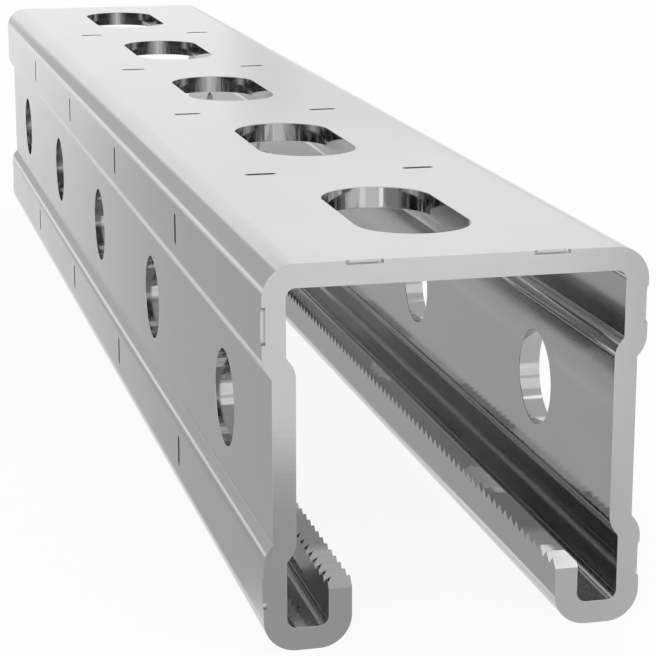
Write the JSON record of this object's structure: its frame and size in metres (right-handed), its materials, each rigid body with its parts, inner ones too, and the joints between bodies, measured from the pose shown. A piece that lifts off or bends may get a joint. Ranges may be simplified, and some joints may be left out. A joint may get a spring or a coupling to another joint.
{
  "type": "slotted strut channel",
  "caption": "Cold-rolled steel strut channel with a slotted back, recessed side walls with round holes and inturned serrated lips.",
  "frame": {"origin": "middle of the length and the width, level with the underside of the lips", "axes": "+Y along the channel, +Z from the open side towards the slotted back, +X across the width"},
  "size_m": [0.041, 0.25, 0.041],
  "materials": {
    "zinc_steel": "smooth bright zinc coating on cold-rolled steel"
  },
  "bodies": {
    "root": {"strut_channel": "zinc_steel"}
  },
  "joints": []
}
